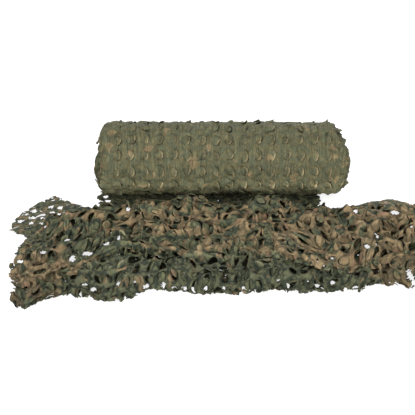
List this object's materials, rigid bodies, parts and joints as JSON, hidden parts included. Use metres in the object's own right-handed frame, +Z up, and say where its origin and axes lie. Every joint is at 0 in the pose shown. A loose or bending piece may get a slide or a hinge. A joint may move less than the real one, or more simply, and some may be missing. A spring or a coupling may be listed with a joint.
{
  "type": "rolled camouflage net",
  "caption": "Leaf-cut camouflage net wound into a long roll, its end pulled out from underneath and heaped in loose folds in front.",
  "frame": {"origin": "on the floor, under the middle of the roll, on the underside of the strip that it rests on", "axes": "+X along the roll, +Y away from the loose net, +Z up"},
  "size_m": [1.9725, 1.409, 0.3437],
  "materials": {
    "rolled_net": "matt olive leaf-cut cloth, tightly wound",
    "loose_net": "matt green and brown leaf-cut cloth, loose"
  },
  "bodies": {
    "root": {"net_roll": "rolled_net", "net_spread": "loose_net"}
  },
  "joints": []
}
